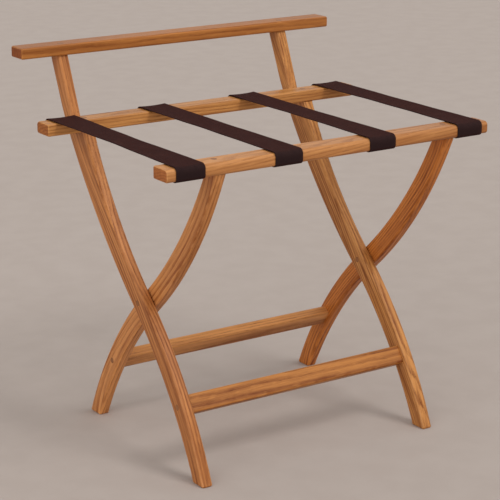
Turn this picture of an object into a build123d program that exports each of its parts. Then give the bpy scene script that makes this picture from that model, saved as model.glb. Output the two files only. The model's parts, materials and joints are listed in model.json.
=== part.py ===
# Folding luggage rack with a back rail: two scissor frames of curved oak legs, three rails,
# two stretchers and four webbing straps.
# Millimetres. X to the right, Y to the rear, Z up. The origin is on the floor, under the middle.
import os
from math import cos, radians, sin, tan

from build123d import *

os.makedirs("parts", exist_ok=True)

# Rails
seat_rail_length = 612.0
seat_rail_depth = 39.5
seat_rail_thick = 20.0
seat_rail_round = 7.0  # the outer top edge, which the straps bend over
seat_rail_low_round = 5.0  # the outer edge below it
seat_rail_inner_round = 3.0
seat_rail_end_round = 2.5
back_rail_length = 616.0
back_rail_depth = 38.5
back_rail_thick = 18.4
back_rail_round = 3.0
seat_height = 519.5  # top of the two seat rails
back_height = 630.8  # top of the back rail
front_rail_y = -221.5
rear_rail_y = 143.0

# Legs. The long frame stands one leg to the left of the short frame.
leg_thick = 19.0
leg_depth = 34.0  # where the legs cross
leg_top_depth = 32.2  # of a short leg under its rail
foot_depth = 31.6
leg_round = 4.0
foot_round = 2.6
short_leg_arc_share = 0.95  # of a short leg above the crossing; the rest is straight
short_leg_waste = 12.0  # above the cut at the top of a short leg
pivot_y = -37.5
pivot_z = 251.0
long_foot_y = -214.2
short_foot_y = 147.0
long_lean_angle = 47.0  # from the vertical, where the legs cross
short_lean_angle = 48.6
notch_clearance = 0.1

# Posts: the long legs above the rear rail
post_base_depth = 35.25  # behind the rear rail, at the height of its top
post_depth = 30.0  # under the back rail
post_lean_angle = 23.5
post_bend_radius = 300.0

# Stretchers
stretcher_height = 31.0
stretcher_thick = 19.0
stretcher_round = 4.0
front_stretcher_rise = 126.0  # along the leg, from the floor to the middle of the stretcher
rear_stretcher_rise = 130.0

# Pivots
pivot_radius = 3.0
pivot_play = 0.05
pivot_head_thick = 3.0
pivot_head_play = 0.2
insert_radius = 5.0
insert_length = 14.0
insert_clearance = 0.05
washer_radius = 9.0
washer_thick = 0.8
washer_play = 0.2

# Screws and the wood plugs over them
plug_radius = 4.7
plug_thick = 4.5
plug_clearance = 0.05
screw_radius = 2.0
screw_clearance = 0.05
screw_head_thick = 2.5
head_clearance = 0.4  # round a head in its counterbore
screw_grip = 26.0  # how far a screw goes into the second piece
plug_gap = 0.3  # between a plug and the head below it

# Straps
strap_count = 4
strap_width = 50.8
strap_margin = 15.1  # from the end of a rail to the first strap
strap_leg_gap = 1.0  # from the first strap to the leg beside it
strap_thick = 1.5
strap_tuck = 24.0  # length of the end that lies under a rail
strap_slack = 0.2  # between a span and its two ends
tack_radius = 1.0
tack_clearance = 0.05
tack_length = 10.0
tack_head_radius = 3.0
tack_head_thick = 0.8
tack_spacing = 28.0
tack_margin = 9.0  # from the cut end of a strap

# Places that follow from these sizes
seat_rail_bottom = seat_height - seat_rail_thick
back_rail_bottom = back_height - back_rail_thick
stagger = leg_thick + washer_thick + washer_play
long_frame_x = -stagger / 2
short_frame_x = stagger / 2
frame_width = seat_rail_length - 2 * (strap_margin + strap_width + strap_leg_gap) - stagger
leg_spread = frame_width / 2 - leg_thick  # from the middle of a frame to the inner side of a leg
strap_pitch = (seat_rail_length - 2 * strap_margin - strap_width) / (strap_count - 1)
counterbore_radius = plug_radius + plug_clearance
head_radius = counterbore_radius - head_clearance
screw_counterbore = plug_thick + plug_gap + screw_head_thick
pivot_counterbore = plug_thick + plug_gap + pivot_head_thick + pivot_head_play
screw_hole_radius = screw_radius + screw_clearance
tack_hole_radius = tack_radius + tack_clearance


def save(piece, name):
    piece.part.label = name
    export_step(piece.part, f"parts/{name}.step")


def left_side(frame_x):
    # left face of the left leg and of the right leg
    return frame_x - frame_width / 2, frame_x + leg_spread


def upward(lean):
    return Vector(sin(radians(lean)), cos(radians(lean)))


def facing(y, z, x, side):
    # a drilling plane on a leg's side: side is -1 for its left face, 1 for its right face
    return Plane(origin=(x, y, z), z_dir=(side, 0, 0))


def above(x, y, z):
    return Plane(origin=(x, y, z))


# Leg outlines, drawn from the side as (Y, Z): each edge is an arc below the crossing and an arc above it
pivot = Vector(pivot_y, pivot_z)
long_up = upward(long_lean_angle)
short_up = upward(-short_lean_angle)
long_across = Vector(-long_up.Y, long_up.X) * (leg_depth / 2)  # to the upper side of the leg
short_across = Vector(short_up.Y, -short_up.X) * (leg_depth / 2)

shoulder_front = Vector(rear_rail_y - seat_rail_depth / 2, seat_rail_bottom)
shoulder_rear = Vector(rear_rail_y + seat_rail_depth / 2 + notch_clearance, seat_rail_bottom)
post_rise = back_rail_bottom - seat_height
post_slope = tan(radians(post_lean_angle))
post_bend = Vector(shoulder_rear.X + post_base_depth, seat_height)
post_top_rear = post_bend + Vector(post_rise * post_slope, post_rise)
post_top_front = post_top_rear - Vector(post_depth, 0)
back_rail_y = post_top_rear.X - post_depth / 2
short_top_front = Vector(front_rail_y - leg_top_depth / 2, seat_rail_bottom)
short_top_rear = Vector(front_rail_y + leg_top_depth / 2, seat_rail_bottom)

# Centre lines of the lower legs, which place the stretchers
with BuildLine() as long_centre:
    TangentArc(pivot, (long_foot_y, 0), tangent=-long_up)
with BuildLine() as short_centre:
    TangentArc(pivot, (short_foot_y, 0), tangent=-short_up)


def stretcher_place(centre, rise):
    # where a stretcher sits on the leg, and the way the leg runs there
    line = centre.edges()[0]
    along = line.length - rise
    place = line.position_at(along, position_mode=PositionMode.LENGTH)
    way = line.tangent_at(along, position_mode=PositionMode.LENGTH)
    return Vector(0, place.X, place.Y), Vector(0, way.X, way.Y)


front_stretcher_at, front_stretcher_way = stretcher_place(long_centre, front_stretcher_rise)
rear_stretcher_at, rear_stretcher_way = stretcher_place(short_centre, rear_stretcher_rise)

# Screws that go down into leaning legs stand where they stay in the wood
short_top_lean = (short_top_rear - (pivot + short_across)).X / (seat_rail_bottom - pivot_z)
front_screw_y = front_rail_y - short_top_lean * screw_grip / 4
rear_screw_y = rear_rail_y
back_screw_y = back_rail_y - post_slope * screw_grip / 2


def round_leg(leg):
    # round all edges along the leg, then the edges of the foot
    sides = leg.faces().filter_by(Axis.X)
    fillet(sides.edges().filter_by(Axis.Y, reverse=True), radius=leg_round)
    fillet(leg.faces().sort_by(Axis.Z)[0].edges(), radius=foot_round)


def short_leg_edge(start, top):
    # an arc towards the top that runs out straight and past it; the waste is cut off after the rounding
    whole = TangentArc(start, top, tangent=short_up, mode=Mode.PRIVATE)
    arc_end = whole @ short_leg_arc_share
    way = whole % short_leg_arc_share
    tip = arc_end + way * ((top.Y + short_leg_waste - arc_end.Y) / way.Y)
    TangentArc(start, arc_end, tangent=short_up)
    Line(arc_end, tip)
    return tip


# Long legs: front foot, crossing, notch for the rear rail, post for the back rail
for side, x in zip(("left", "right"), left_side(long_frame_x)):
    outward = -1 if side == "left" else 1
    stretcher_face = x if side == "left" else x + leg_thick
    with BuildPart() as long_leg:
        with BuildSketch(Plane.YZ.offset(x)) as outline:
            with BuildLine():
                TangentArc(pivot + long_across, shoulder_front, tangent=long_up)
                Polyline(shoulder_front, shoulder_rear, post_top_front, post_top_rear, post_bend)
                rear_edge = TangentArc(pivot - long_across, post_bend, tangent=long_up)
                TangentArc(pivot - long_across, (long_foot_y + foot_depth / 2, 0), tangent=-long_up)
                Line((long_foot_y + foot_depth / 2, 0), (long_foot_y - foot_depth / 2, 0))
                TangentArc(pivot + long_across, (long_foot_y - foot_depth / 2, 0), tangent=-long_up)
            make_face()
            # the bend runs out before it reaches the back rail
            bend_angle = (rear_edge % 1).get_angle(post_top_rear - post_bend)
            longest_bend = 0.9 * (post_top_rear - post_bend).length / tan(radians(bend_angle / 2))
            bend = outline.vertices().sort_by_distance(post_bend)[0]
            fillet(bend, radius=min(post_bend_radius, longest_bend))
        extrude(amount=leg_thick)
        round_leg(long_leg)
        with Locations(facing(pivot_y, pivot_z, x, -1)):
            CounterBoreHole(pivot_radius + pivot_play, counterbore_radius, pivot_counterbore)
        with Locations(facing(front_stretcher_at.Y, front_stretcher_at.Z, stretcher_face, outward)):
            CounterBoreHole(screw_hole_radius, counterbore_radius, screw_counterbore)
        with Locations(
            above(x + leg_thick / 2, rear_screw_y, seat_rail_bottom),
            above(x + leg_thick / 2, back_screw_y, back_rail_bottom),
        ):
            Hole(screw_hole_radius, depth=screw_grip)
    save(long_leg, f"{side}_long_leg")

# Short legs: rear foot, crossing, top under the front rail
for side, x in zip(("left", "right"), left_side(short_frame_x)):
    outward = -1 if side == "left" else 1
    stretcher_face = x if side == "left" else x + leg_thick
    with BuildPart() as short_leg:
        with BuildSketch(Plane.YZ.offset(x)):
            with BuildLine():
                rear_tip = short_leg_edge(pivot + short_across, short_top_rear)
                front_tip = short_leg_edge(pivot - short_across, short_top_front)
                Line(rear_tip, front_tip)
                TangentArc(pivot - short_across, (short_foot_y - foot_depth / 2, 0), tangent=-short_up)
                Line((short_foot_y - foot_depth / 2, 0), (short_foot_y + foot_depth / 2, 0))
                TangentArc(pivot + short_across, (short_foot_y + foot_depth / 2, 0), tangent=-short_up)
            make_face()
        extrude(amount=leg_thick)
        round_leg(short_leg)
        split(bisect_by=Plane.XY.offset(seat_rail_bottom), keep=Keep.BOTTOM)
        with Locations(facing(pivot_y, pivot_z, x, -1)):
            Hole(insert_radius + insert_clearance, depth=insert_length)
        with Locations(facing(rear_stretcher_at.Y, rear_stretcher_at.Z, stretcher_face, outward)):
            CounterBoreHole(screw_hole_radius, counterbore_radius, screw_counterbore)
        with Locations(above(x + leg_thick / 2, front_screw_y, seat_rail_bottom)):
            Hole(screw_hole_radius, depth=screw_grip)
    save(short_leg, f"{side}_short_leg")


def leg_middles(frame_x):
    return [x + leg_thick / 2 for x in left_side(frame_x)]


def strap_middles():
    return [(i - (strap_count - 1) / 2) * strap_pitch for i in range(strap_count)]


# Tacks stand under the rails, in two rows: towards the front under the front rail, and the reverse
front_tack_y = front_rail_y - seat_rail_depth / 2 - strap_thick + strap_tuck - tack_margin
rear_tack_y = rear_rail_y + seat_rail_depth / 2 + strap_thick - strap_tuck + tack_margin
tack_offsets = (-tack_spacing / 2, tack_spacing / 2)


def tack_places(y, z):
    return [(x + offset, y, z) for x in strap_middles() for offset in tack_offsets]


# Seat rails
seat_rails = (
    ("front_seat_rail", front_rail_y, -1, short_frame_x, front_screw_y, front_tack_y),
    ("rear_seat_rail", rear_rail_y, 1, long_frame_x, rear_screw_y, rear_tack_y),
)
for name, y, outward, frame_x, screw_y, tack_y in seat_rails:
    outer = y + outward * seat_rail_depth / 2
    inner = y - outward * seat_rail_depth / 2
    rail_corners = (
        (outer, seat_height, seat_rail_round),
        (outer, seat_rail_bottom, seat_rail_low_round),
        (inner, seat_height, seat_rail_inner_round),
        (inner, seat_rail_bottom, seat_rail_inner_round),
    )
    with BuildPart() as seat_rail:
        with BuildSketch(Plane.YZ.offset(-seat_rail_length / 2)) as section:
            with Locations((y, (seat_height + seat_rail_bottom) / 2)):
                Rectangle(seat_rail_depth, seat_rail_thick)
            for corner_y, corner_z, radius in rail_corners:
                corner = section.vertices().sort_by_distance((corner_y, corner_z))[0]
                fillet(corner, radius=radius)
        extrude(amount=seat_rail_length)
        fillet(seat_rail.faces().filter_by(Axis.X).edges(), radius=seat_rail_end_round)
        with Locations(*[above(x, screw_y, seat_height) for x in leg_middles(frame_x)]):
            CounterBoreHole(screw_hole_radius, counterbore_radius, screw_counterbore)
        tack_planes = [
            Plane(origin=place, z_dir=(0, 0, -1)) for place in tack_places(tack_y, seat_rail_bottom)
        ]
        with Locations(*tack_planes):
            Hole(tack_hole_radius, depth=tack_length)
    save(seat_rail, name)

# Back rail
with BuildPart() as back_rail:
    with Locations((0, back_rail_y, back_rail_bottom)):
        Box(
            back_rail_length,
            back_rail_depth,
            back_rail_thick,
            align=(Align.CENTER, Align.CENTER, Align.MIN),
        )
    fillet(back_rail.edges(), radius=back_rail_round)
    with Locations(*[above(x, back_screw_y, back_height) for x in leg_middles(long_frame_x)]):
        CounterBoreHole(screw_hole_radius, counterbore_radius, screw_counterbore)
save(back_rail, "back_rail")

# Stretchers: their broad side runs along the leg
stretchers = (
    ("front_stretcher", long_frame_x, front_stretcher_at, front_stretcher_way),
    ("rear_stretcher", short_frame_x, rear_stretcher_at, rear_stretcher_way),
)
for name, frame_x, place, way in stretchers:
    ends = (frame_x - leg_spread, frame_x + leg_spread)
    section = Plane(origin=(ends[0], place.Y, place.Z), x_dir=way, z_dir=(1, 0, 0))
    with BuildPart() as stretcher:
        with BuildSketch(section):
            Rectangle(stretcher_height, stretcher_thick)
        extrude(amount=ends[1] - ends[0])
        fillet(stretcher.edges().filter_by(Axis.X), radius=stretcher_round)
        with Locations(*[facing(place.Y, place.Z, x, side) for x, side in zip(ends, (-1, 1))]):
            Hole(screw_hole_radius, depth=screw_grip)
    save(stretcher, name)


def screw_body(through):
    # a flat head that starts at the plane, and a shank through one piece and into the next
    Cylinder(head_radius, screw_head_thick, align=(Align.CENTER, Align.CENTER, Align.MAX))
    Cylinder(
        screw_radius,
        screw_head_thick + through + screw_grip - screw_clearance,
        align=(Align.CENTER, Align.CENTER, Align.MAX),
    )


def plug_body():
    Cylinder(plug_radius, plug_thick, align=(Align.CENTER, Align.CENTER, Align.MAX))


# Rail screws and plugs: down through a rail into a leg
rail_fasteners = (
    ("front_rail", short_frame_x, front_screw_y, seat_height, seat_rail_thick),
    ("rear_rail", long_frame_x, rear_screw_y, seat_height, seat_rail_thick),
    ("back_rail", long_frame_x, back_screw_y, back_height, back_rail_thick),
)
for name, frame_x, y, top, thick in rail_fasteners:
    with BuildPart() as plugs:
        with Locations(*[above(x, y, top) for x in leg_middles(frame_x)]):
            plug_body()
    save(plugs, f"{name}_plugs")
    head_top = top - plug_thick - plug_gap
    with BuildPart() as screws:
        with Locations(*[above(x, y, head_top) for x in leg_middles(frame_x)]):
            screw_body(thick - screw_counterbore)
    save(screws, f"{name}_screws")

# Stretcher screws and plugs: in through the outer sides of the legs
stretcher_fasteners = (
    ("front_stretcher", long_frame_x, front_stretcher_at),
    ("rear_stretcher", short_frame_x, rear_stretcher_at),
)
for name, frame_x, place in stretcher_fasteners:
    outer = frame_width / 2
    heads = outer - plug_thick - plug_gap
    with BuildPart() as plugs:
        with Locations(*[facing(place.Y, place.Z, frame_x + side * outer, side) for side in (-1, 1)]):
            plug_body()
    save(plugs, f"{name}_plugs")
    with BuildPart() as screws:
        with Locations(*[facing(place.Y, place.Z, frame_x + side * heads, side) for side in (-1, 1)]):
            screw_body(leg_thick - screw_counterbore)
    save(screws, f"{name}_screws")

# Pivots: a bolt from the long leg into an insert in the short leg, with a washer between the legs
with BuildPart() as pivot_plugs:
    with Locations(*[facing(pivot_y, pivot_z, x, -1) for x in left_side(long_frame_x)]):
        plug_body()
save(pivot_plugs, "pivot_plugs")

for side, x in zip(("left", "right"), left_side(long_frame_x)):
    head_x = x + plug_thick + plug_gap
    short_x = x + stagger
    with BuildPart() as bolt:
        with Locations(facing(pivot_y, pivot_z, head_x, -1)):
            Cylinder(head_radius, pivot_head_thick, align=(Align.CENTER, Align.CENTER, Align.MAX))
            Cylinder(
                pivot_radius,
                short_x + insert_length - head_x,
                align=(Align.CENTER, Align.CENTER, Align.MAX),
            )
    save(bolt, f"{side}_pivot_bolt")

    with BuildPart() as insert:
        with BuildSketch(facing(pivot_y, pivot_z, short_x, -1)):
            Circle(insert_radius)
            Circle(pivot_radius + insert_clearance, mode=Mode.SUBTRACT)
        extrude(amount=-insert_length)
    save(insert, f"{side}_pivot_insert")

    with BuildPart() as washer:
        with BuildSketch(facing(pivot_y, pivot_z, short_x, -1)):
            Circle(washer_radius)
            Circle(pivot_radius + insert_clearance, mode=Mode.SUBTRACT)
        extrude(amount=washer_thick)
    save(washer, f"{side}_pivot_washer")

# Straps: an end wrapped round each seat rail, and the free span between the rails
strap_middle = strap_thick / 2
strap_top = seat_height + strap_middle
strap_bottom = seat_rail_bottom - strap_middle
bend_radii = [seat_rail_round + strap_middle, seat_rail_low_round + strap_middle]
front_edge = front_rail_y + seat_rail_depth / 2 - seat_rail_inner_round
rear_edge = rear_rail_y - seat_rail_depth / 2 + seat_rail_inner_round


def strap_end(x, y, toward, start, tack_y):
    # the middle of the webbing: over the top of the rail, down its outer side and under it
    outer = y + toward * (seat_rail_depth / 2 + strap_middle)
    end = outer - toward * (strap_tuck - strap_middle)
    with BuildPart() as webbing:
        with BuildSketch(Plane.YZ.offset(x - strap_width / 2)):
            with BuildLine():
                FilletPolyline(
                    (start, strap_top),
                    (outer, strap_top),
                    (outer, strap_bottom),
                    (end, strap_bottom),
                    radius=bend_radii,
                )
            trace(line_width=strap_thick)
        extrude(amount=strap_width)
        under = seat_rail_bottom - strap_thick
        tack_planes = [
            Plane(origin=(x + offset, tack_y, under), z_dir=(0, 0, -1)) for offset in tack_offsets
        ]
        with Locations(*tack_planes):
            Hole(tack_hole_radius, depth=strap_thick)
    return webbing


for number, x in enumerate(strap_middles(), start=1):
    front_end = strap_end(x, front_rail_y, -1, front_edge, front_tack_y)
    save(front_end, f"strap_{number}_front_end")
    rear_end = strap_end(x, rear_rail_y, 1, rear_edge, rear_tack_y)
    save(rear_end, f"strap_{number}_rear_end")

    with BuildPart() as span:
        with BuildSketch(Plane.XY.offset(seat_height)):
            with Locations((x, (front_edge + rear_edge) / 2)):
                Rectangle(strap_width, rear_edge - front_edge - 2 * strap_slack)
        extrude(amount=strap_thick)
    save(span, f"strap_{number}")

# Tacks: up through the strap ends into the rails
for name, y in (("front", front_tack_y), ("rear", rear_tack_y)):
    under = seat_rail_bottom - strap_thick
    with BuildPart() as tacks:
        with Locations(*tack_places(y, under)):
            Cylinder(
                tack_head_radius,
                tack_head_thick,
                align=(Align.CENTER, Align.CENTER, Align.MAX),
            )
            Cylinder(
                tack_radius,
                strap_thick + tack_length - tack_clearance,
                align=(Align.CENTER, Align.CENTER, Align.MIN),
            )
    save(tacks, f"{name}_strap_tacks")
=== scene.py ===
import json
import math

import bpy
import numpy as np
from mathutils import Matrix, Vector


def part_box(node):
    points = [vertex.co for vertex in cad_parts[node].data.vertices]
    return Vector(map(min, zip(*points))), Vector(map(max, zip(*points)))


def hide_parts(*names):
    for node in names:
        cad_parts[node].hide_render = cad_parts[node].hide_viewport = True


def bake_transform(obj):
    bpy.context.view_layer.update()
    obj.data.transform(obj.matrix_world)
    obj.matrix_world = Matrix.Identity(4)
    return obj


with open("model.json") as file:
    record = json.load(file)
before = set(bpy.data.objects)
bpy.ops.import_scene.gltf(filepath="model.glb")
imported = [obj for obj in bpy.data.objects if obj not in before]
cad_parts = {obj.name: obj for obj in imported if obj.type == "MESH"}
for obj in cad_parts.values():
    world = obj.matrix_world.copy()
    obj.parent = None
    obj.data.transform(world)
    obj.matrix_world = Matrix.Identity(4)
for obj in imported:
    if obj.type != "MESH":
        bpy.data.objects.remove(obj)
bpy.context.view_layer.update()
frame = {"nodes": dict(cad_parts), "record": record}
nodes = frame["nodes"]
scene = bpy.context.scene
scene.view_settings.view_transform = "Standard"
print("frame loaded,", len(nodes), "nodes")


# camera at the photo's angle

cameraLook = {
    "place": (-1.6227, -2.4036, 1.1452),                   # metres, in the rack's own frame
    "azimuth": -34.08, "elevation": 16.42, "roll": 0.19,   # degrees
    "lens": 129.83, "sensor": 36.0,                        # mm
    "shift": (-0.001, 0.001),                              # half a pixel of the photo
    "farClip": 100.0,
}


def placeCamera(look):
    az, el, roll = (math.radians(look[k]) for k in ("azimuth", "elevation", "roll"))
    back = Vector((math.sin(az) * math.cos(el), -math.cos(az) * math.cos(el), math.sin(el)))
    right = Vector((0, 0, 1)).cross(back).normalized()
    up = back.cross(right)
    axes = Matrix((right * math.cos(roll) + up * math.sin(roll),
                   up * math.cos(roll) - right * math.sin(roll), back)).transposed()
    lens = bpy.data.cameras.new("photoCamera")
    lens.lens, lens.sensor_width = look["lens"], look["sensor"]
    lens.shift_x, lens.shift_y = look["shift"]
    lens.clip_end = look["farClip"]
    camera = bpy.data.objects.new("photoCamera", lens)
    camera.matrix_world = Matrix.Translation(look["place"]) @ axes.to_4x4()
    scene.collection.objects.link(camera)
    scene.camera = camera


placeCamera(cameraLook)
print("camera placed")


# small helpers for shader trees

def put(tree, socket, value):
    # a link where the value is another socket, else the plain value on the socket itself
    if isinstance(value, bpy.types.NodeSocket):
        tree.links.new(value, socket)
    else:
        socket.default_value = value


def sums(tree, operation, *terms):
    node = tree.nodes.new("ShaderNodeMath")
    node.operation = operation
    for socket, term in zip(node.inputs, terms):
        put(tree, socket, term)
    return node.outputs[0]


def ease(tree, value, low, high):
    # 0 below low, 1 above high, an S-curve between
    node = tree.nodes.new("ShaderNodeMapRange")
    node.interpolation_type = "SMOOTHSTEP"
    put(tree, node.inputs["Value"], value)
    node.inputs["From Min"].default_value = low
    node.inputs["From Max"].default_value = high
    return node.outputs["Result"]


def mixed(tree, share, first, second, blend="MIX"):
    node = tree.nodes.new("ShaderNodeMix")
    node.data_type, node.blend_type = "RGBA", blend
    put(tree, node.inputs[0], share)
    put(tree, node.inputs[6], first)       # 6 and 7 are the two colours, after those for numbers and vectors
    put(tree, node.inputs[7], second)
    return node.outputs[2]


def mapped(tree, vector, place=(0, 0, 0), turn=(0, 0, 0), scale=(1, 1, 1)):
    node = tree.nodes.new("ShaderNodeMapping")
    put(tree, node.inputs["Vector"], vector)
    node.inputs["Location"].default_value = place
    node.inputs["Rotation"].default_value = turn
    node.inputs["Scale"].default_value = scale
    return node.outputs["Vector"]


def speckle(tree, vector, cells, detail=2.0, rough=0.5, cut=None):
    # noise with so many cells to the metre along each axis; a cut makes it 0 below one level and 1 above another
    node = tree.nodes.new("ShaderNodeTexNoise")
    put(tree, node.inputs["Vector"], mapped(tree, vector, scale=cells))
    node.inputs["Scale"].default_value = 1.0
    node.inputs["Detail"].default_value = detail
    node.inputs["Roughness"].default_value = rough
    return ease(tree, node.outputs["Fac"], *cut) if cut else node.outputs["Fac"]


def swing(tree, value, amount):
    # noise moved from 0..1 to -amount..amount
    return sums(tree, "MULTIPLY", sums(tree, "SUBTRACT", value, 0.5), 2.0 * amount)


def facing(tree, normal, axis):
    node = tree.nodes.new("ShaderNodeVectorMath")
    node.operation = "DOT_PRODUCT"
    put(tree, node.inputs[0], normal)
    put(tree, node.inputs[1], axis)
    return node.outputs["Value"]


def parted(tree, vector):
    node = tree.nodes.new("ShaderNodeSeparateXYZ")
    put(tree, node.inputs[0], vector)
    return node.outputs


def newGroup(name, inputs, outputs):
    # inputs are names with a first value, which also tells their kind; outputs are numbers, all but Color
    group = bpy.data.node_groups.new(name, "ShaderNodeTree")
    kinds = {1: "NodeSocketFloat", 3: "NodeSocketVector", 4: "NodeSocketColor"}
    for label, value in inputs.items():
        kind = kinds[np.size(value)]
        group.interface.new_socket(name=label, in_out="INPUT", socket_type=kind).default_value = value
    for label in outputs:
        kind = kinds[4] if label == "Color" else kinds[1]
        group.interface.new_socket(name=label, in_out="OUTPUT", socket_type=kind)
    return group, group.nodes.new("NodeGroupInput").outputs, group.nodes.new("NodeGroupOutput").inputs


def placed(tree, group, values):
    # a group in a material, with its own values
    node = tree.nodes.new("ShaderNodeGroup")
    node.node_tree = group
    for label, value in values.items():
        put(tree, node.inputs[label], value)
    return node.outputs


def newMaterial(name):
    material = bpy.data.materials.new(name)
    material.use_nodes = True
    tree = material.node_tree
    return material, tree, tree.nodes["Principled BSDF"].inputs, tree.nodes.new("ShaderNodeTexCoord").outputs


def bumped(tree, shader, height, strength, depth):
    node = tree.nodes.new("ShaderNodeBump")
    node.inputs["Strength"].default_value = strength
    node.inputs["Distance"].default_value = depth
    put(tree, node.inputs["Height"], height)
    put(tree, shader["Normal"], node.outputs["Normal"])


def dress(name, material):
    for slot in nodes[name].material_slots:
        slot.material = material


# floor, sky and suns

stageLook = {
    "size": 30.0,
    "pale": (0.494, 0.424, 0.381, 1), "dull": (0.474, 0.404, 0.362, 1),
    "cloud": {"cells": (16, 16, 16), "detail": 5.0, "cut": (0.3, 0.7)}, "roughness": 0.85, "gloss": 0.2,
    "skyColour": (1.0, 0.99, 0.975, 1), "skyLevel": 0.60,
    "lamps": {                             # where each comes from, its level, how wide it is in degrees
        "keySun": {"from": (0.240, -0.560, 0.793), "level": 1.05, "spread": 24.0},
        "fillSun": {"from": (-0.860, -0.420, 0.290), "level": 0.85, "spread": 60.0},
    },
}


def buildStage(look):
    half = look["size"] / 2
    corners = [[-half, -half, 0], [half, -half, 0], [half, half, 0], [-half, half, 0]]
    mesh = bpy.data.meshes.new("floor")
    mesh.from_pydata(corners, [], [[0, 1, 2, 3]])
    floor = bpy.data.objects.new("floor", mesh)
    scene.collection.objects.link(floor)
    material, tree, shader, coords = newMaterial("paleFloor")
    cloud = speckle(tree, coords["Object"], **look["cloud"])
    put(tree, shader["Base Color"], mixed(tree, cloud, look["dull"], look["pale"]))
    shader["Roughness"].default_value = look["roughness"]
    shader["Specular IOR Level"].default_value = look["gloss"]
    mesh.materials.append(material)

    sky = bpy.data.worlds.new("studio")
    sky.use_nodes = True
    sky.node_tree.nodes["Background"].inputs["Color"].default_value = look["skyColour"]
    sky.node_tree.nodes["Background"].inputs["Strength"].default_value = look["skyLevel"]
    scene.world = sky

    for name, values in look["lamps"].items():
        lamp = bpy.data.lights.new(name, "SUN")
        lamp.energy, lamp.angle = values["level"], math.radians(values["spread"])
        sun = bpy.data.objects.new(name, lamp)
        sun.rotation_euler = Vector(values["from"]).to_track_quat("Z", "Y").to_euler()
        scene.collection.objects.link(sun)


buildStage(stageLook)
print("stage built")


# oak

oakLook = {
    "light": (0.650, 0.280, 0.089), "dark": (0.245, 0.066, 0.012), "pore": (0.120, 0.032, 0.008),
    "endTint": (0.67, 0.48, 0.33),
    "gloss": 0.21, "coatRoughness": 0.25, "bumpStrength": 0.35, "bumpDepth": 0.0003,
}

# seed: which part of the log; pith: how far off the log's middle lies, both ways across the piece; tilt: how much
# that middle leans, both ways; ring: a year's growth; figure: how strongly the grain is drawn; heart and shade: how
# much darker the wood gets per metre, both ways across, partly heartwood tone and partly painted shade (the rear
# stretcher's lower, down-facing side is painted darker; the front seat rail is also darker towards the bottom);
# tint: how light and how red the board is
# follow (legs): 1 where the grain bends with the leg, 0 where it runs straight on; slant (rails and stretchers):
# degrees that the grain rises to the right; lean (stretchers): degrees that the flat side leans
oakPieces = {
    "left_long_leg": {"seed": 0.7, "pith": (0.045, 0.040), "tilt": (0.010, 0.004), "ring": 0.0062, "follow": 1.0,
                      "figure": 1.15, "heartAndShade": (0, 0), "tint": (0.93, 0.85, 0.80)},
    "right_long_leg": {"seed": 3.1, "pith": (0.007, -0.006), "tilt": (0.030, 0.060), "ring": 0.0056, "follow": 0.35,
                       "figure": 1.25, "heartAndShade": (-8.0, 5.0), "tint": (0.98, 0.99, 0.90)},
    "left_short_leg": {"seed": 5.2, "pith": (0.050, 0.035), "tilt": (0.012, 0.004), "ring": 0.0064, "follow": 1.0,
                       "figure": 1.0, "heartAndShade": (0, 0), "tint": (1.22, 1.23, 1.26)},
    "right_short_leg": {"seed": 8.4, "pith": (0.030, 0.055), "tilt": (0.016, 0.006), "ring": 0.0060, "follow": 1.0,
                        "figure": 1.5, "heartAndShade": (0, -4.0), "tint": (0.93, 0.71, 0.43)},
    "back_rail": {"seed": 2.3, "pith": (0.050, 0.016), "tilt": (0.008, 0.004), "ring": 0.0056, "slant": 0.0,
                  "figure": 0.8, "heartAndShade": (0, 0), "tint": (0.86, 0.76, 0.55)},
    "rear_seat_rail": {"seed": 6.6, "pith": (0.020, 0.048), "tilt": (0.010, 0.004), "ring": 0.0052, "slant": 0.0,
                       "figure": 0.85, "heartAndShade": (0, 0), "tint": (1.05, 1.12, 1.06)},
    # front_seat_rail: its second heart value makes it darker towards the bottom
    "front_seat_rail": {"seed": 9.9, "pith": (0.024, 0.050), "tilt": (0.008, 0.004), "ring": 0.0054, "slant": 4.0,
                        "figure": 0.65, "heartAndShade": (0, -9.0), "tint": (1.07, 1.12, 1.18)},
    "front_stretcher": {"seed": 4.4, "pith": (0.002, 0.030), "tilt": (0.010, 0.020), "ring": 0.0090, "slant": 0.0,
                        "lean": 34.0, "figure": 1.2, "heartAndShade": (0, 0), "tint": (0.85, 0.77, 0.58)},
    # rear_stretcher: its second heart value paints painted shade on the lower, down-facing side and lightens the top
    "rear_stretcher": {"seed": 7.5, "pith": (0.040, 0.020), "tilt": (0.014, 0.004), "ring": 0.0064, "slant": 0.0,
                       "lean": -34.0, "figure": 1.1, "heartAndShade": (0, -22.0), "tint": (1.01, 1.02, 1.00)},
}

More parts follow.
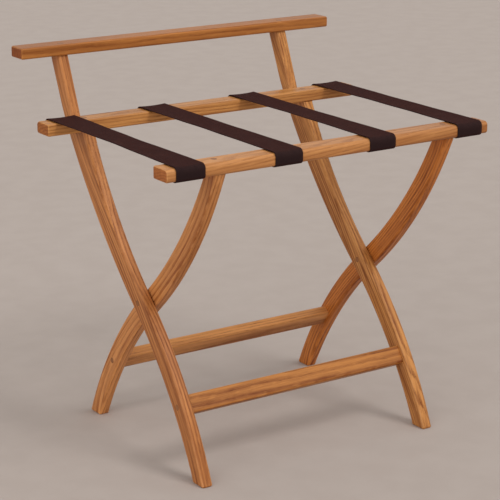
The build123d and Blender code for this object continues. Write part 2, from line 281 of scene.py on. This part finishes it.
grainLook = {
    "drift": (0.31, 0.17, 1.93),           # metres through the log for one step of seed, across twice and along
    "wave": {"cells": (14, 14, 3.2), "detail": 1.0}, "waveDepth": 0.010,       # metres that the rings stray
    "ripple": {"cells": (70, 70, 16)}, "rippleDepth": 0.0022,
    "early": (0.02, 0.55), "late": (0.86, 1.0),            # parts of a year: porous until, dense from
    "shown": {"cells": (52, 52, 5), "cut": (0.30, 0.70)},  # rings come and go along the board
    "ringMiddle": 0.46, "ringShade": 0.38, "ringLeast": 0.12,
    "streak": {"cells": (190, 95, 4.5), "detail": 5.0, "rough": 0.68}, "streakShade": 0.95,
    "fibre": {"cells": (1200, 1200, 34)}, "fibreShade": 0.22,
    "cloud": {"cells": (9, 9, 2.4)}, "cloudShade": 0.40,
    "fleck": {"cells": (130, 130, 46), "detail": 1.0, "cut": (0.60, 0.74)}, "fleckShade": -0.16,
    "tone": 0.45,                          # between light, 0, and dark, 1, before all these
    "holes": {"cells": (1500, 1500, 62), "detail": 1.0, "cut": (0.56, 0.68)},
    "holesInRing": 0.75, "holesAnywhere": 0.15, "poreShade": 0.60,
    "endFacing": (0.80, 0.97),             # how straight a face looks along the grain where end grain sets in
    "rough": 0.40, "poreRough": 0.22, "streakRough": 0.07, "endRough": 0.14,
    "coat": 0.06, "poreCoat": -0.04, "endCoat": -0.02,
    "poreHeight": -1.0, "ringHeight": -0.25, "fibreHeight": 0.25,
}

# lighter colour on the rounded edges: partly rubbed wear, partly a painted highlight
edgeWearAndHighlightLook = {"colour": (0.680, 0.330, 0.130), "share": 0.30, "rough": -0.06, "edge": (0.25, 0.95),
           "broken": {"cells": (60, 60, 60), "detail": 3.0, "cut": (0.30, 0.66)}}


def buildOakGrain(look):
    # growth rings are circles round the log's middle: the distance from it, made wavy by noise, counted in ring
    # steps; each ring starts with a row of pores, turns smooth and ends dense; streaks, fibres and pores are noise
    # drawn out along the grain
    t, given, out = newGroup("oakGrain", {
        "Place": (0.0, 0.0, 0.0), "Normal": (0.0, 0.0, 1.0), "End Axis": (0.0, 0.0, 1.0),
        "Curve 0": 0.0, "Curve 1": 0.0, "Curve 2": 0.0, "Curve 3": 0.0,
        "Seed": 0.0, "Pith A": 0.0, "Pith B": 0.0, "Tilt A": 0.0, "Tilt B": 0.0, "Ring Step": 0.005,
        "Figure": 1.0, "HeartAndShade A": 0.0, "HeartAndShade B": 0.0,
        "Light": (1.0, 1.0, 1.0, 1.0), "Dark": (0.0, 0.0, 0.0, 1.0), "Pore": (0.0, 0.0, 0.0, 1.0),
        "End Tint": (1.0, 1.0, 1.0, 1.0),
    }, ["Color", "Roughness", "Coat", "Height"])
    a, b, along = parted(t, given["Place"])
    bend = given["Curve 3"]
    for term in ("Curve 2", "Curve 1", "Curve 0"):         # the leg's middle line, a cubic in the height
        bend = sums(t, "MULTIPLY_ADD", bend, along, given[term])
    b = sums(t, "SUBTRACT", b, bend)
    spot = t.nodes.new("ShaderNodeCombineXYZ")
    for socket, drift, value in zip(spot.inputs, look["drift"], (a, b, along)):
        put(t, socket, sums(t, "MULTIPLY_ADD", given["Seed"], drift, value))
    log = spot.outputs[0]

    wave = swing(t, speckle(t, log, **look["wave"]), look["waveDepth"])
    ripple = swing(t, speckle(t, log, **look["ripple"]), look["rippleDepth"])
    offA = sums(t, "MULTIPLY_ADD", given["Tilt A"], along, sums(t, "ADD", a, given["Pith A"]))
    offB = sums(t, "MULTIPLY_ADD", given["Tilt B"], along, sums(t, "ADD", b, given["Pith B"]))
    reach = sums(t, "SQRT", sums(t, "MULTIPLY_ADD", offA, offA, sums(t, "MULTIPLY", offB, offB)))
    age = sums(t, "DIVIDE", sums(t, "ADD", reach, sums(t, "ADD", wave, ripple)), given["Ring Step"])
    year = sums(t, "FRACT", age)
    early = sums(t, "SUBTRACT", 1.0, ease(t, year, *look["early"]))
    ring = sums(t, "MAXIMUM", early, ease(t, year, *look["late"]))

    streak, fibre, cloud, shown, fleck, holes = (
        speckle(t, log, **look[noise]) for noise in ("streak", "fibre", "cloud", "shown", "fleck", "holes"))
    pores = sums(t, "MULTIPLY", holes, sums(t, "MULTIPLY_ADD", ring, look["holesInRing"], look["holesAnywhere"]))

    # how dark the wood is, as steps away from an even tone
    drawn = sums(t, "MULTIPLY_ADD", shown, look["ringShade"], look["ringLeast"])
    depth = sums(t, "MULTIPLY", sums(t, "SUBTRACT", ring, look["ringMiddle"]), drawn)
    depth = sums(t, "ADD", depth, swing(t, streak, look["streakShade"]))
    depth = sums(t, "ADD", depth, swing(t, fibre, look["fibreShade"]))
    depth = sums(t, "ADD", depth, swing(t, cloud, look["cloudShade"]))
    depth = sums(t, "MULTIPLY_ADD", fleck, look["fleckShade"], depth)
    depth = sums(t, "MULTIPLY_ADD", depth, given["Figure"], look["tone"])
    # darker per metre across the piece: partly heartwood tone, partly painted shade where a piece is darker towards
    # the bottom
    depth = sums(t, "MULTIPLY_ADD", given["HeartAndShade A"], a, depth)
    depth = sums(t, "MULTIPLY_ADD", given["HeartAndShade B"], b, depth)
    limited = t.nodes.new("ShaderNodeClamp")
    put(t, limited.inputs["Value"], depth)
    colour = mixed(t, limited.outputs[0], given["Light"], given["Dark"])
    poreShare = sums(t, "MULTIPLY", pores, sums(t, "MULTIPLY", given["Figure"], look["poreShade"]))
    colour = mixed(t, poreShare, colour, given["Pore"])
    end = ease(t, sums(t, "ABSOLUTE", facing(t, given["Normal"], given["End Axis"])), *look["endFacing"])
    put(t, out["Color"], mixed(t, end, colour, mixed(t, 1.0, colour, given["End Tint"], "MULTIPLY")))

    rough = sums(t, "MULTIPLY_ADD", pores, look["poreRough"], look["rough"])
    rough = sums(t, "ADD", rough, swing(t, streak, look["streakRough"]))
    put(t, out["Roughness"], sums(t, "MULTIPLY_ADD", end, look["endRough"], rough))
    coat = sums(t, "MULTIPLY_ADD", pores, look["poreCoat"], look["coat"])
    put(t, out["Coat"], sums(t, "MULTIPLY_ADD", end, look["endCoat"], coat))
    height = sums(t, "MULTIPLY_ADD", pores, look["poreHeight"], sums(t, "MULTIPLY", ring, look["ringHeight"]))
    put(t, out["Height"], sums(t, "ADD", height, swing(t, fibre, look["fibreHeight"])))
    return t


def buildEdgeRub(look):
    # how far a face is turned between two flat sides: 4 m (1 - m), with m the square of the normal along the axis,
    # broken up by noise; there the wood takes a lighter colour, partly rubbed wear and partly a painted highlight
    t, given, out = newGroup("edgeRub", {
        "Place": (0.0, 0.0, 0.0), "Normal": (0.0, 0.0, 1.0), "Axis": (1.0, 0.0, 0.0)}, ["Rub"])
    along = facing(t, given["Normal"], given["Axis"])
    square = sums(t, "MULTIPLY", along, along)
    edge = sums(t, "MULTIPLY", sums(t, "MULTIPLY", square, 4.0), sums(t, "SUBTRACT", 1.0, square))
    broken = speckle(t, given["Place"], **look["broken"])
    put(t, out["Rub"], sums(t, "MULTIPLY", ease(t, edge, *look["edge"]), broken))
    return t


oakGrain = buildOakGrain(grainLook)
edgeRub = buildEdgeRub(edgeWearAndHighlightLook)


def legCurve(name, follow, sliceCount=25):
    # the leg's middle line: the halfway point between its front and back in slices by height, fitted by a cubic
    # and, as far as the grain doesn't follow the leg, by a straight line
    mesh = nodes[name].data
    spots = np.empty(len(mesh.vertices) * 3)
    mesh.vertices.foreach_get("co", spots)
    y, z = spots.reshape(-1, 3)[:, 1:].T
    which = np.digitize(z, np.linspace(z.min(), z.max(), sliceCount))
    slices = [which == k for k in np.unique(which)]
    heights = np.array([z[part].mean() for part in slices])
    middles = np.array([(y[part].min() + y[part].max()) / 2 for part in slices])
    curved = np.polyfit(heights, middles, 3)[::-1]
    straight = np.append(np.polyfit(heights, middles, 1)[::-1], [0, 0])
    return straight + follow * (curved - straight)


def turnAlongX(slant=0.0):
    # (y, z, x) for a piece that lies along X, with its grain rising to the right by slant degrees
    rise = math.radians(slant)
    return Matrix(((0, 1, 0), (-math.sin(rise), 0, math.cos(rise)), (math.cos(rise), 0, math.sin(rise))))


def tinted(colour, tint=(1, 1, 1)):
    return tuple(c * k for c, k in zip(colour, tint)) + (1.0,)


def woodGrain(tree, coords, place, axis, curve, look, colours):
    values = {"Place": place, "Normal": coords["Normal"], "End Axis": axis, "Seed": look["seed"],
              "Ring Step": look["ring"], "Figure": look["figure"], "End Tint": tinted(oakLook["endTint"])}
    for label, key in (("Pith", "pith"), ("Tilt", "tilt"), ("HeartAndShade", "heartAndShade")):
        values[label + " A"], values[label + " B"] = look[key]
    for power, term in enumerate(curve):
        values[f"Curve {power}"] = term
    for label, key in (("Light", "light"), ("Dark", "dark"), ("Pore", "pore")):
        values[label] = tinted(colours[key], look["tint"])
    return placed(tree, oakGrain, values)


def lacquer(tree, shader, grain, colour, rough):
    put(tree, shader["Base Color"], colour)
    put(tree, shader["Roughness"], rough)
    put(tree, shader["Coat Weight"], grain["Coat"])
    shader["Coat Roughness"].default_value = oakLook["coatRoughness"]
    shader["Specular IOR Level"].default_value = oakLook["gloss"]
    bumped(tree, shader, grain["Height"], oakLook["bumpStrength"], oakLook["bumpDepth"])


def oakMaterial(name, look):
    material, tree, shader, coords = newMaterial("oak_" + name)
    low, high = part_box(name)
    middle = (low + high) / 2
    if name.endswith("leg"):
        place = mapped(tree, coords["Object"], place=(-middle.x, 0, 0))
        axis, curve = (0, 0, 1), legCurve(name, look["follow"])
    else:
        turn = turnAlongX(look["slant"])
        place = mapped(tree, coords["Object"], place=-(turn @ middle), turn=turn.to_euler())
        axis, curve = (1, 0, 0), (0, 0, 0, 0)
    flat = (1, 0, 0)
    if "lean" in look:
        lean = math.radians(look["lean"])
        flat = (0, math.cos(lean), math.sin(lean))
    grain = woodGrain(tree, coords, place, axis, curve, look, oakLook)
    # the rounded edges are painted lighter: partly wear, partly a painted highlight
    edgeWearAndHighlightMask = placed(tree, edgeRub, {"Place": coords["Object"], "Normal": coords["Normal"], "Axis": flat})["Rub"]
    edgeWearAndHighlightShare = sums(tree, "MULTIPLY", edgeWearAndHighlightMask, edgeWearAndHighlightLook["share"])
    colour = mixed(tree, edgeWearAndHighlightShare, grain["Color"], tinted(edgeWearAndHighlightLook["colour"], look["tint"]))
    lacquer(tree, shader, grain, colour, sums(tree, "MULTIPLY_ADD", edgeWearAndHighlightMask, edgeWearAndHighlightLook["rough"], grain["Roughness"]))
    return material


for name, look in oakPieces.items():
    dress(name, oakMaterial(name, look))
print("oak on", len(oakPieces), "pieces")


# plugs over the screws

plugLook = {
    "light": (0.400, 0.165, 0.058), "dark": (0.200, 0.068, 0.020), "pore": (0.100, 0.032, 0.010),
    "pith": (0.03, 0.02), "tilt": (0.01, 0.0), "ring": 0.0026, "figure": 1.0, "heartAndShade": (0, 0), "tint": (1, 1, 1),
    "turn": (0.4, 0.2, 0),                                 # radians that the plugs' grain is turned
    "rim": (0.070, 0.024, 0.008, 1), "rimShare": {"rail": 0.85, "leg": 0.55}, "rimRough": 0.15,
    "rimFrom": 0.78, "rimTo": 0.98,                        # shares of the plug's radius
    "seeds": {"back_rail_plugs": 11.0, "rear_rail_plugs": 12.7, "front_rail_plugs": 14.4,
              "front_stretcher_plugs": 16.1, "rear_stretcher_plugs": 17.8, "pivot_plugs": 19.5},
}


def buildPlugRim(look):
    # distance from the nearer of two plug middles, over the plug's radius: dark from four fifths outwards
    t, given, out = newGroup("plugRim", {"Place": (0.0, 0.0, 0.0), "Half Gap": 0.0, "Radius": 0.005}, ["Rim"])
    x, y = parted(t, given["Place"])[:2]
    x = sums(t, "SUBTRACT", sums(t, "ABSOLUTE", x), given["Half Gap"])
    reach = sums(t, "SQRT", sums(t, "MULTIPLY_ADD", x, x, sums(t, "MULTIPLY", y, y)))
    put(t, out["Rim"], ease(t, sums(t, "DIVIDE", reach, given["Radius"]), look["rimFrom"], look["rimTo"]))
    return t


plugRim = buildPlugRim(plugLook)


def plugMaterial(name, look, seed):
    material, tree, shader, coords = newMaterial("oak_" + name)
    low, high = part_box(name)
    middle, half = (low + high) / 2, (high - low) / 2
    if "rail" in name:      # a plug in the top of a rail at each end
        where, radius = "rail", half.y
        gap = half.x - radius
        place = mapped(tree, coords["Object"], place=(-middle.x, -middle.y, 0))
    else:                   # a plug in the outer face of each leg
        where, radius, gap = "leg", half.z, 0.0
        turn = turnAlongX()
        place = mapped(tree, coords["Object"], place=-(turn @ middle), turn=turn.to_euler())
    grainPlace = mapped(tree, coords["Object"], place=(0, 0, seed), turn=look["turn"])
    # no end axis: a plug shows no end grain
    grain = woodGrain(tree, coords, grainPlace, (0, 0, 0), (0, 0, 0, 0), look | {"seed": seed}, look)
    rim = placed(tree, plugRim, {"Place": place, "Half Gap": gap, "Radius": radius})["Rim"]
    rimShare = sums(tree, "MULTIPLY", rim, look["rimShare"][where])
    colour = mixed(tree, rimShare, grain["Color"], look["rim"])
    lacquer(tree, shader, grain, colour, sums(tree, "MULTIPLY_ADD", rim, look["rimRough"], grain["Roughness"]))
    return material


for name, seed in plugLook["seeds"].items():
    dress(name, plugMaterial(name, plugLook, seed))
print("plugs dressed")


# metal and nylon of the fasteners

fastenerLook = {
    "steel": {"bright": (0.62, 0.62, 0.63, 1), "dull": (0.40, 0.40, 0.42, 1), "metallic": 1.0, "rough": 0.30},
    "insert_brass": {"bright": (0.76, 0.56, 0.25, 1), "dull": (0.52, 0.35, 0.13, 1), "metallic": 1.0, "rough": 0.28},
    "washer_nylon": {"bright": (0.78, 0.76, 0.71, 1), "dull": (0.66, 0.63, 0.57, 1), "metallic": 0.0, "rough": 0.45},
}

handledLook = {
    "cloud": {"cells": (260, 260, 260), "detail": 3.0}, "marks": {"cells": (600, 600, 9000), "detail": 1.0},
    "marksShare": 0.2, "worn": (0.34, 0.68), "wornRough": 0.22, "bumpStrength": 0.15, "bumpDepth": 0.0001,
}


def buildHandled(look):
    # fine turning marks and a cloudy dullness, both noise
    t, given, out = newGroup("handled", {
        "Place": (0.0, 0.0, 0.0), "Bright": (1.0, 1.0, 1.0, 1.0), "Dull": (0.0, 0.0, 0.0, 1.0), "Rough": 0.0},
        ["Color", "Roughness", "Height"])
    cloud, marks = (speckle(t, given["Place"], **look[noise]) for noise in ("cloud", "marks"))
    worn = ease(t, sums(t, "ADD", cloud, swing(t, marks, look["marksShare"])), *look["worn"])
    put(t, out["Color"], mixed(t, worn, given["Bright"], given["Dull"]))
    put(t, out["Roughness"], sums(t, "MULTIPLY_ADD", worn, look["wornRough"], given["Rough"]))
    put(t, out["Height"], marks)
    return t


handled = buildHandled(handledLook)


def fastenerMaterial(slot, look):
    material, tree, shader, coords = newMaterial(slot + "Finish")
    wear = placed(tree, handled, {"Place": coords["Object"], "Bright": look["bright"], "Dull": look["dull"],
                                  "Rough": look["rough"]})
    put(tree, shader["Base Color"], wear["Color"])
    put(tree, shader["Roughness"], wear["Roughness"])
    shader["Metallic"].default_value = look["metallic"]
    bumped(tree, shader, wear["Height"], handledLook["bumpStrength"], handledLook["bumpDepth"])
    return material


fasteners = {slot: fastenerMaterial(slot, look) for slot, look in fastenerLook.items()}
for part in frame["record"]["subparts"]:
    if part["material_slot"] in fasteners:
        dress(part["node"], fasteners[part["material_slot"]])
print("fasteners dressed")


# the four straps

strapLook = {
    "width": 0.0506, "thick": 0.0016,                      # as bought; narrower in the span, by strap below
    "tuck": 0.0240, "gap": 0.0001,                         # length under a rail; how far off the rail it lies
    "highBend": 0.0070, "lowBend": 0.0050,                 # roundings of the rails
    "spanMargin": 0.004, "waistRun": 0.42,                 # the span starts so far on the rails; share that narrows
    "cup": 0.0011,                                         # edges lifted on top
    "wander": 0.0006, "waveLength": 0.118,                 # edges not quite straight
    "wavePerMetre": 40, "waveAcross": 1.3,                 # radians from strap to strap, and from middle to edge
    "tuckSteps": 8, "cornerSteps": 9, "spanSteps": 48, "acrossSteps": 15, "edgeSteps": 5,
    "straps": {            # set over to the right at the front and at the rear, and how narrow it is drawn in the span
        1: {"front": 0.0000, "rear": 0.0010, "waist": 0.0456},
        2: {"front": -0.0016, "rear": -0.0028, "waist": 0.0480},
        3: {"front": 0.0004, "rear": 0.0020, "waist": 0.0462},
        4: {"front": 0.0010, "rear": 0.0032, "waist": 0.0470},
    },
}

# the worn colour serves both rubbed patches and a painted highlight on the bends over the rails
weaveLook = {
    "base": (0.028, 0.0172, 0.0180, 1), "deep": (0.014, 0.0094, 0.0105, 1), "worn": (0.060, 0.031, 0.028, 1),
    "ribStep": 0.00125, "pickStep": 0.0021, "ribPower": 0.6, "pickPower": 0.5,
    "fuzz": {"cells": (900, 900, 900)},
    "yarn": {"cells": (800, 22, 1), "cut": (0.5, 0.75)}, "yarnShare": 0.35,
    "patch": {"cells": (40, 26, 1), "detail": 3.0},
    "hollow": (0.05, 0.75), "crown": (0.3, 0.9),           # levels of a stitch: out of the painted shade in the hollows, rubbed
    "bendHighlightSpan": 0.007, "bendReach": (0.2, 1.6),            # metres from the middle of a bend, and in parts of that, where the bends over the rails get the worn colour, partly as wear and partly as a painted highlight
    "patchFlat": (0.46, 0.74), "patchBentHighlight": (0.10, 0.50), "wornAndHighlitShare": 0.5,
    "rough": 0.74, "fuzzRough": 0.14, "fuzzHeight": 0.15,
    "gloss": 0.01, "sheen": 0.08, "sheenTint": (1.0, 0.20, 0.08, 1), "sheenRoughness": 0.5,
    "bumpStrength": 0.7, "bumpDepth": 0.0004,
}


def strapRun(look):
    # side view of a strap: straight runs joined by quarter circles, from the tuck under the rear rail, up its back,
    # over both seat rails, down the front and under; gives y, z, the outward normal and the length so far
    rearLow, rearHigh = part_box("rear_seat_rail")
    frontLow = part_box("front_seat_rail")[0]
    off = look["gap"] + look["thick"] / 2
    high, low = look["highBend"] + off, look["lowBend"] + off
    back, front = rearHigh.y + off, frontLow.y - off
    top, rearUnder, frontUnder = rearHigh.z + off, rearLow.z - off, frontLow.z - off
    turn = np.linspace(0, math.pi / 2, look["cornerSteps"])
    sine, cosine = np.sin(turn), np.cos(turn)
    tuck = np.linspace(look["tuck"], low, look["tuckSteps"] + 1)[:-1]
    span = np.linspace(back - high, front + high, look["spanSteps"])[1:-1]
    under, level = np.zeros(tuck.size), np.zeros(span.size)
    y = np.concatenate([back - tuck, back - low + low * sine, back - high + high * cosine, span,
                        front + high - high * sine, front + low - low * cosine, front + tuck[::-1]])
    z = np.concatenate([under + rearUnder, rearUnder + low - low * cosine, top - high + high * sine, level + top,
                        top - high + high * cosine, frontUnder + low - low * sine, under + frontUnder])
    normalY = np.concatenate([under, sine, cosine, level, -sine, -cosine, under])
    normalZ = np.concatenate([under - 1, -cosine, sine, level + 1, cosine, -sine, under - 1])
    length = np.concatenate([[0], np.cumsum(np.hypot(np.diff(y), np.diff(z)))])
    return y, z, normalY, normalZ, length


def strapSection(look):
    # closed outline of the webbing: flat faces with round edges, as a flat share, a round share and a height
    flat = np.linspace(-1, 1, look["acrossSteps"])
    turn = np.linspace(math.pi / 2, -math.pi / 2, look["edgeSteps"] + 2)[1:-1]
    one = np.ones(turn.size)
    across = np.concatenate([flat, one, flat[::-1], -one])
    rounding = np.concatenate([flat * 0, np.cos(turn), flat * 0, -np.cos(turn)])
    height = np.concatenate([flat * 0 + 1, np.sin(turn), flat * 0 - 1, -np.sin(turn)])
    return across, rounding, height


def eased(share):
    share = np.clip(share, 0, 1)
    return share * share * (3 - 2 * share)


def buildStrap(name, centre, look, own):
    # the section carried along the run: x = centre + set + half width * flat share + edge rounding,
    # (y, z) = run + normal * (height + lift); the width narrows between the rails, the edges lift wherever
    # the strap lies on top, the set goes evenly from rear to front, and each edge strays by a slow sine
    y, z, normalY, normalZ, length = strapRun(look)
    across, rounding, height = strapSection(look)
    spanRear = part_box("rear_seat_rail")[0].y + look["spanMargin"]
    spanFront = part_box("front_seat_rail")[1].y - look["spanMargin"]
    share = np.clip((spanRear - y) / (spanRear - spanFront), 0, 1)
    waist = eased(share / look["waistRun"]) * eased((1 - share) / look["waistRun"])
    width = look["width"] + (own["waist"] - look["width"]) * waist
    half = look["thick"] / 2
    flatX = np.outer(width / 2 - half, across) + half * rounding
    phase = 2 * math.pi * length[:, None] / look["waveLength"]
    phase = phase + look["wavePerMetre"] * centre + look["waveAcross"] * across
    stray = waist[:, None] * look["wander"] * np.sin(phase) * across ** 2
    setOver = own["rear"] + (own["front"] - own["rear"]) * share
    x = centre + setOver[:, None] + flatX + stray
    off = half * height + np.outer(np.clip(normalZ, 0, 1) * look["cup"], across ** 2)
    spots = np.stack([x, y[:, None] + normalY[:, None] * off, z[:, None] + normalZ[:, None] * off], axis=-1)
    rows, columns = x.shape
    index = np.arange(rows * columns).reshape(rows, columns)
    beside = np.roll(index, -1, axis=1)
    quads = np.stack([index[:-1], beside[:-1], beside[1:], index[1:]], axis=-1).reshape(-1, 4)
    faces = quads.tolist() + [index[0, ::-1].tolist(), index[-1].tolist()]
    mesh = bpy.data.meshes.new(name)
    mesh.from_pydata(spots.reshape(-1, 3).tolist(), [], faces)
    smooth = np.ones(len(faces), dtype=bool)
    smooth[-2:] = False                    # the two cut ends
    mesh.polygons.foreach_set("use_smooth", smooth)
    corner = np.empty(len(mesh.loops), dtype=np.int32)
    mesh.loops.foreach_get("vertex_index", corner)
    flatY = np.repeat(length, columns)
    mesh.uv_layers.new(name="webbing").data.foreach_set(
        "uv", np.stack([flatX.ravel()[corner], flatY[corner]], axis=-1).ravel().astype(np.float32))
    mesh.update()
    strap = bpy.data.objects.new(name, mesh)
    scene.collection.objects.link(strap)
    return strap, float(length[-1])


def buildWebbing(look):
    # columns of oval stitches, each column half a stitch along from the next: the product of two sine humps
    t, given, out = newGroup("webbing", {
        "Place": (0.0, 0.0, 0.0), "Rib Step": 0.001, "Pick Step": 0.002,
        "Rear Bend": 0.0, "Front Bend": 0.0, "Bend Highlight Span": 0.01,
        "Base": (1.0, 1.0, 1.0, 1.0), "Deep": (0.0, 0.0, 0.0, 1.0), "Worn And Highlit": (1.0, 1.0, 1.0, 1.0)},
        ["Color", "Roughness", "Height"])
    u, v = parted(t, given["Place"])[:2]
    rib = sums(t, "DIVIDE", u, given["Rib Step"])
    odd = sums(t, "MULTIPLY", sums(t, "FLOORED_MODULO", sums(t, "FLOOR", rib), 2.0), 0.5)
    pick = sums(t, "ADD", sums(t, "DIVIDE", v, given["Pick Step"]), odd)
    ribHump, pickHump = (sums(t, "ABSOLUTE", sums(t, "SINE", sums(t, "MULTIPLY", step, math.pi)))
                         for step in (rib, pick))
    hump = sums(t, "MULTIPLY", sums(t, "POWER", ribHump, look["ribPower"]),
                sums(t, "POWER", pickHump, look["pickPower"]))
    fuzz, yarn, patch = (speckle(t, given["Place"], **look[noise]) for noise in ("fuzz", "yarn", "patch"))

    # the bends over the rails take the worn colour more: partly wear, partly a painted highlight where the bends catch
    # the light
    fromRear, fromFront = (sums(t, "ABSOLUTE", sums(t, "SUBTRACT", v, given[bend]))
                           for bend in ("Rear Bend", "Front Bend"))
    away = sums(t, "DIVIDE", sums(t, "MINIMUM", fromRear, fromFront), given["Bend Highlight Span"])
    bendHighlightMask = sums(t, "SUBTRACT", 1.0, ease(t, away, *look["bendReach"]))         # 1 at the bends over the rails
    wornAndHighlit = sums(t, "MAXIMUM", ease(t, patch, *look["patchFlat"]),
                  sums(t, "MULTIPLY", bendHighlightMask, ease(t, patch, *look["patchBentHighlight"])))
    wornAndHighlit = sums(t, "MULTIPLY", wornAndHighlit, ease(t, hump, *look["crown"]))

    # the hollows between stitches take the deep colour: painted shade in the weave
    colour = mixed(t, ease(t, hump, *look["hollow"]), given["Deep"], given["Base"])
    colour = mixed(t, sums(t, "MULTIPLY", wornAndHighlit, look["wornAndHighlitShare"]), colour, given["Worn And Highlit"])
    colour = mixed(t, sums(t, "MULTIPLY", yarn, look["yarnShare"]), colour, given["Deep"])
    put(t, out["Color"], colour)
    put(t, out["Roughness"], sums(t, "ADD", look["rough"], swing(t, fuzz, look["fuzzRough"])))
    put(t, out["Height"], sums(t, "ADD", hump, swing(t, fuzz, look["fuzzHeight"])))
    return t


webbing = buildWebbing(weaveLook)


def webbingMaterial(run, look):
    length = strapRun(run)[-1]
    bend = run["tuckSteps"] + run["cornerSteps"] + run["cornerSteps"] // 2     # the middle of the upper bend
    material, tree, shader = newMaterial("brownWebbing")[:3]
    own = tree.nodes.new("ShaderNodeUVMap")
    own.uv_map = "webbing"
    weave = placed(tree, webbing, {
        "Place": own.outputs["UV"], "Rib Step": look["ribStep"], "Pick Step": look["pickStep"],
        "Rear Bend": float(length[bend]), "Front Bend": float(length[-1 - bend]), "Bend Highlight Span": look["bendHighlightSpan"],
        "Base": look["base"], "Deep": look["deep"], "Worn And Highlit": look["worn"]})
    put(tree, shader["Base Color"], weave["Color"])
    put(tree, shader["Roughness"], weave["Roughness"])
    shader["Specular IOR Level"].default_value = look["gloss"]
    shader["Sheen Weight"].default_value = look["sheen"]
    shader["Sheen Tint"].default_value = look["sheenTint"]
    shader["Sheen Roughness"].default_value = look["sheenRoughness"]
    bumped(tree, shader, weave["Height"], look["bumpStrength"], look["bumpDepth"])
    return material


strapMaterial = webbingMaterial(strapLook, weaveLook)
for count, own in strapLook["straps"].items():
    low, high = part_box(f"strap_{count}")
    strap, cutLength = buildStrap(f"webbing_strap_{count}", (low.x + high.x) / 2, strapLook, own)
    strap.data.materials.append(strapMaterial)
    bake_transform(strap)
    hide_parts(f"strap_{count}", f"strap_{count}_front_end", f"strap_{count}_rear_end")
print("straps built,", round(cutLength, 4), "m cut length")
